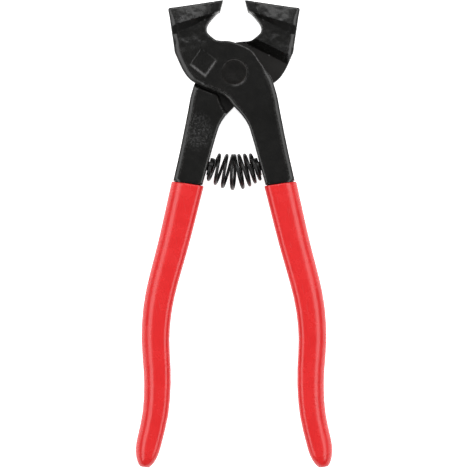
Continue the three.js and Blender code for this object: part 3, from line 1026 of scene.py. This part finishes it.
# %% Group: skin grain
grain, grain_in, grain_out = new_group("skin_grain", {"Fine mm": 0.5, "Coarse mm": 4.0},
                                       ("Height", "Patches"))
where = on_piece(grain)
fine_scale = combine(grain, "DIVIDE", 1 / MM, grain_in.outputs["Fine mm"])
coarse_scale = combine(grain, "DIVIDE", 1 / MM, grain_in.outputs["Coarse mm"])
fine_noise = noise_value(grain, where, fine_scale, 3.0)
coarse_noise = noise_value(grain, where, coarse_scale, 4.0, Roughness=0.6)
patches = spread(grain, coarse_noise, 0, 1, 0.32, 0.68)
height = plus(grain, times(grain, fine_noise, 0.6), times(grain, patches, 0.4))
grain.links.new(height, grain_out.inputs["Height"])
grain.links.new(patches, grain_out.inputs["Patches"])

# %% [markdown]
# ## Rubbed edges and painted highlights
# Paint wears first where the piece touches hands, tiles and the bench. The masks stored on the
# points say how near an edge is. On the levers they also carry painted highlights on the relief's
# lower flanks, round the rivet and along the pocket's edge. Noise breaks that band up, so that
# the wear and the painted highlights come and go along the edge as on a used tool.

# %% Group: rubbed edges
wear_sheen, wear_sheen_in, wear_sheen_out = new_group("edge_wear_and_painted_sheen", {"Break up mm": 1.5, "Amount": 0.5}, ("Mask",))
scale = combine(wear_sheen, "DIVIDE", 1 / MM, wear_sheen_in.outputs["Break up mm"])
broken = spread(wear_sheen, noise_value(wear_sheen, on_piece(wear_sheen), scale, 5.0, Roughness=0.7), 0, 1, 0.42, 0.62)
wear_and_sheen = times(wear_sheen, times(wear_sheen, stored(wear_sheen, "rim"), broken), wear_sheen_in.outputs["Amount"])
wear_sheen.links.new(wear_and_sheen, wear_sheen_out.inputs["Mask"])

# %% [markdown]
# ## Scratches
# Working against tile and glass leaves short scratches that run mostly one way. A noise that is
# stretched along one axis gives them, and a narrow window on its value leaves thin lines only.

# %% Group: scratches
scratch, scratch_in, scratch_out = new_group(
    "fine_scratches", {"Length mm": 9.0, "Width mm": 0.35, "Turn": 0.4}, ("Mask",))
turned = add_node(scratch, "VectorRotate",
                  {"Vector": on_piece(scratch), "Angle": scratch_in.outputs["Turn"]},
                  rotation_type="Z_AXIS").outputs[0]
parts = add_node(scratch, "SeparateXYZ", {0: turned})
long_way = combine(scratch, "DIVIDE", parts.outputs[0], scratch_in.outputs["Length mm"])
short_way = combine(scratch, "DIVIDE", parts.outputs[1], scratch_in.outputs["Width mm"])
lines_at = add_node(scratch, "CombineXYZ", {0: long_way, 1: short_way, 2: parts.outputs[2]})
streaks = noise_value(scratch, lines_at.outputs[0], 1 / MM, 2.0, Distortion=0.3)
streaks = spread(scratch, streaks, 0, 1, 0.66, 0.74)
scratch.links.new(streaks, scratch_out.inputs["Mask"])


# %% A finish and its shader
def new_finish(name, **values):
    material = bpy.data.materials.new(name)
    material.use_nodes = True
    tree = material.node_tree
    shader = tree.nodes["Principled BSDF"]
    for title, value in values.items():
        shader.inputs[title.replace("_", " ")].default_value = value
    return material, tree, shader


def wire_up(tree, shader, **sockets):
    for title, socket in sockets.items():
        tree.links.new(socket, shader.inputs[title.replace("_", " ")])


def bump(tree, height, depth):
    return add_node(tree, "Bump", {"Height": height, "Distance": depth * MM}).outputs["Normal"]


def skin_grain(tree, fine, coarse):
    made = place_group(tree, grain, **{"Fine mm": fine, "Coarse mm": coarse})
    return made.outputs["Height"], made.outputs["Patches"]


def edge_wear_and_sheen(tree, size, amount):
    return place_group(tree, wear_sheen, **{"Break up mm": size, "Amount": amount}).outputs["Mask"]


def scratches(tree, length, width, turn_by):
    made = place_group(tree, scratch, **{"Length mm": length, "Width mm": width, "Turn": turn_by})
    return made.outputs["Mask"]


# %% [markdown]
# ## Black paint
# The levers are dipped in black stoving paint, thin enough that the forging's skin shows
# through. It is nearly black, half glossy, and paler where it is rubbed. On the relief's lower
# flanks, round the rivet and along the pocket's edge, that paler colour is a painted highlight.
# Three places differ. The jaw's land is painted paler in patches, a painted sheen where it turns
# to the light, and it takes more scratches. One patch of heavy scale on the arm is as rough as
# sandpaper. The lap face has lost part of its paint and is painted paler still, a painted lift of
# the shade in the pocket.

# %% Finish: black paint
black, tree, shader = new_finish("black_paint", IOR=1.45)
height, patches = skin_grain(tree, 0.45, 3.5)
edges = edge_wear_and_sheen(tree, 1.2, 0.75)
marks = scratches(tree, 8.0, 0.5, 1.2)
land_sheen_and_scratches, crust, lap_bare_and_lit = (stored(tree, name) for name in ("land_sheen_and_scratches", "scale", "lap"))
grit = noise_value(tree, on_piece(tree), 1.6 / MM, 3.0, Roughness=0.7)
grit = spread(tree, grit, 0, 1, 0.52, 0.68)
tone = blend_colour(tree, patches, (0.0044, 0.0044, 0.0041, 1), (0.0060, 0.0059, 0.0054, 1))
# Painted sheen: the land is paler in patches where it turns to the light.
tone = blend_colour(tree, times(tree, land_sheen_and_scratches, patches), tone, (0.014, 0.014, 0.0135, 1))
tone = blend_colour(tree, times(tree, crust, grit), tone, (0.015, 0.015, 0.0145, 1))
# Rubbed paint. On the levers this is also painted highlight on the relief's flanks, round the rivet
# and along the pocket's edge.
tone = blend_colour(tree, edges, tone, (0.075, 0.073, 0.07, 1))
scored = times(tree, marks, plus(tree, 0.05, land_sheen_and_scratches))
tone = blend_colour(tree, times(tree, scored, 0.5), tone, (0.1, 0.1, 0.1, 1))
# The lap face is partly bare. Its paler tone and metalness are also a painted lift of the shade in
# the pocket.
tone = blend_colour(tree, lap_bare_and_lit, tone, (0.022, 0.021, 0.020, 1))
gloss = spread(tree, patches, 0.21, 0.26)
gloss = plus(tree, gloss, times(tree, land_sheen_and_scratches, 0.02))
relief = plus(tree, times(tree, height, 0.35), times(tree, crust, times(tree, grit, 0.55)))
wire_up(tree, shader, Base_Color=tone, Roughness=gloss, Normal=bump(tree, relief, 0.09),
        Metallic=times(tree, lap_bare_and_lit, 0.3))

# %% [markdown]
# ## Rivet
# The rivet was hammered after painting and painted over by hand: the same black, but with the
# facets of the hammer and a little brown where rust has crept out of the ring round it.

# %% Finish: rivet paint
rivet_paint, tree, shader = new_finish("rivet_paint", IOR=1.45)
height, patches = skin_grain(tree, 0.3, 2.0)
edges = edge_wear_and_sheen(tree, 1.6, 0.25)
tone = blend_colour(tree, patches, (0.0035, 0.0034, 0.0032, 1), (0.0055, 0.005, 0.0043, 1))
tone = blend_colour(tree, edges, tone, (0.045, 0.03, 0.02, 1))
gloss = spread(tree, patches, 0.2, 0.27)
wire_up(tree, shader, Base_Color=tone, Roughness=gloss,
        Normal=bump(tree, height, 0.05))

# %% [markdown]
# ## Carbide edges
# The carbide was painted with the jaw, and the paint has partly gone from its working edges.
# Sintered carbide is a fine-grained dark grey metal, duller than steel. The rubbed mask mixes
# it with the paint, in colour, in metalness and in roughness.

# %% Finish: carbide
carbide, tree, shader = new_finish("carbide", IOR=1.33)
height, patches = skin_grain(tree, 0.12, 1.4)
edges = edge_wear_and_sheen(tree, 0.9, 0.6)
tone = blend_colour(tree, patches, (0.0045, 0.0045, 0.0043, 1), (0.009, 0.009, 0.0088, 1))
tone = blend_colour(tree, edges, tone, (0.10, 0.10, 0.097, 1))
gloss = spread(tree, edges, 0.3, 0.26)
wire_up(tree, shader, Base_Color=tone, Roughness=gloss,
        Metallic=times(tree, edges, 0.8),
        Normal=bump(tree, height, 0.03))

# %% [markdown]
# ## Spring steel
# Oil-tempered wire is blued nearly black, with die lines drawn along it and a thin film of oil.
# Its patches vary between blue-black and brown-black.

# %% Finish: spring steel
steel, tree, shader = new_finish("spring_steel", IOR=1.42)
height, patches = skin_grain(tree, 0.25, 2.6)
marks = scratches(tree, 3.0, 0.2, 0.0)
tone = blend_colour(tree, patches, (0.006, 0.006, 0.0065, 1), (0.014, 0.0135, 0.013, 1))
tone = blend_colour(tree, marks, tone, (0.09, 0.09, 0.09, 1))
gloss = spread(tree, patches, 0.2, 0.34)
wire_up(tree, shader, Base_Color=tone, Roughness=gloss,
        Metallic=spread(tree, patches, 0.4, 0.25),
        Normal=bump(tree, height, 0.03))

# %% [markdown]
# ## Red vinyl
# Dipped vinyl is a saturated warm red with a soft gloss. It flows as it cures, which leaves a
# long faint waviness and an orange-peel skin, and use leaves dull finger-sized patches and a
# few scuffs.

# %% Finish: red coating
red, tree, shader = new_finish("red_coating", IOR=1.5)
height, patches = skin_grain(tree, 1.1, 7.0)
marks = scratches(tree, 14.0, 0.6, 1.4)
tone = blend_colour(tree, patches, (0.655, 0.017, 0.018, 1), (0.70, 0.021, 0.022, 1))
tone = blend_colour(tree, times(tree, marks, 0.35), tone, (0.50, 0.05, 0.045, 1))
gloss = spread(tree, patches, 0.22, 0.30)
gloss = plus(tree, gloss, times(tree, marks, 0.12))
wire_up(tree, shader, Base_Color=tone, Roughness=gloss,
        Normal=bump(tree, height, 0.035))

# %% Give each piece its finish
finishes = {"black_paint": black, "rivet_paint": rivet_paint, "carbide": carbide,
            "spring_steel": steel, "red_coating": red}
for piece in bpy.data.objects:
    if piece.type == "MESH" and piece.get("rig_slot") in finishes:
        piece.data.materials.clear()
        piece.data.materials.append(finishes[piece["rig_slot"]])

# %% [markdown]
# ## Floor
# The tool lies on a pale table of frosted acrylic that is lit from below, as makers of tool
# catalogues use it, so that hardly any shadow shows. The table is a wide sheet with a faint
# unevenness, just under the lowest point of the jaws. Seen directly it glows almost white, but
# it throws only about half as much light at the tool, or the undersides would be too bright.

# %% Floor
FLOOR_HALF = 3.0
FLOOR_CELLS = 24
FLOOR_GAP = 0.05 * MM
TABLE_GLOW = 0.95
steps = np.linspace(-FLOOR_HALF, FLOOR_HALF, FLOOR_CELLS + 1)
floor_z = min(lever_low.z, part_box("lower_lever")[0].z)
floor_points = np.array([(x, y, floor_z - FLOOR_GAP) for y in steps for x in steps])
row = FLOOR_CELLS + 1
floor_faces = [(r * row + c, r * row + c + 1, (r + 1) * row + c + 1, (r + 1) * row + c)
               for r in range(FLOOR_CELLS) for c in range(FLOOR_CELLS)]
floor = add_mesh("studio_floor", floor_points, floor_faces)
paper, tree, shader = new_finish("pale_floor", Specular_IOR_Level=0.2)
height, patches = skin_grain(tree, 3.0, 60.0)
glow = blend_colour(tree, patches, (0.97, 0.97, 0.97, 1), (1.0, 1.0, 1.0, 1))
straight = add_node(tree, "LightPath").outputs["Is Camera Ray"]
glow = blend_colour(tree, straight, (0.5, 0.5, 0.5, 1), glow)
wire_up(tree, shader,
        Base_Color=blend_colour(tree, patches, (0.90, 0.90, 0.90, 1),
                                (0.94, 0.94, 0.935, 1)),
        Roughness=spread(tree, height, 0.75, 0.95),
        Emission_Color=glow)
shader.inputs["Emission Strength"].default_value = TABLE_GLOW
floor.data.materials.append(paper)

# %% [markdown]
# ## Light
# Black paint shows hardly any colour of its own: what is seen on it is what it reflects. So
# the lights are large soft panels, placed where the chamfers should catch them: one beyond the
# jaws and one on each side. No panel hangs overhead, so the flats stay dark but for a faint
# glow from the ceiling and from the near wall. Low down the room is brighter, for the sides of
# the pieces, and what is seen past the table's edge is pale.

# %% Panels and room
def panel(name, place, width, height, radiance):
    lamp = bpy.data.lights.new(name, "AREA")
    lamp.shape = "RECTANGLE"
    lamp.size, lamp.size_y = width, height
    lamp.energy = radiance * math.pi * width * height
    holder = bpy.data.objects.new(name, lamp)
    holder.location = place
    holder.rotation_euler = (-Vector(place)).to_track_quat("-Z", "Y").to_euler()
    bpy.context.scene.collection.objects.link(holder)


panel("panel_beyond", (0, 0.70, 1.10), 1.7, 0.60, 3.0)
panel("panel_left", (-1.0, -0.1, 1.0), 2.2, 0.75, 3.0)
panel("panel_right", (1.0, -0.1, 1.0), 2.2, 0.75, 3.0)

world = bpy.data.worlds.new("studio_room")
world.use_nodes = True
bpy.context.scene.world = world
tree = world.node_tree
up = add_node(tree, "SeparateXYZ", {0: add_node(tree, "TexCoord").outputs["Generated"]})
level = spread(tree, up.outputs[2], 0.16, 0.05, 0.05, 0.6)
ceiling = spread(tree, up.outputs[2], 0.0, 0.19, 0.88, 0.97)
front = spread(tree, up.outputs[1], 0.13, 0.0, -0.75, -0.25)
for glow in (ceiling, front):
    level = combine(tree, "MAXIMUM", level, glow)
straight = add_node(tree, "LightPath").outputs["Is Camera Ray"]
level = combine(tree, "MAXIMUM", level, times(tree, straight, 0.95))
background = tree.nodes["Background"]
background.inputs["Color"].default_value = (1, 1, 1, 1)
tree.links.new(level, background.inputs["Strength"])
bpy.context.scene.view_settings.view_transform = "Standard"

# %% [markdown]
# ## Camera
# The tool is seen from straight above, jaws up, filling the square picture from top to bottom.
# The camera stands well back, so the thickness hardly shows at the edges.

# %% Camera
CAMERA_HEIGHT = 1.5
VIEW_WIDTH = 0.2017
VIEW_CENTRE = (0.00043, -0.06996)
SENSOR = 36.0
SEEN_ABOVE = 0.0035
seen_at = MID + SEEN_ABOVE
eye = bpy.data.cameras.new("studio_camera")
eye.sensor_width = SENSOR
eye.lens = SENSOR * CAMERA_HEIGHT / VIEW_WIDTH
camera = bpy.data.objects.new("studio_camera", eye)
camera.location = (*VIEW_CENTRE, seen_at + CAMERA_HEIGHT)
bpy.context.scene.collection.objects.link(camera)
bpy.context.scene.camera = camera
print("lens", round(eye.lens, 1), "mm")
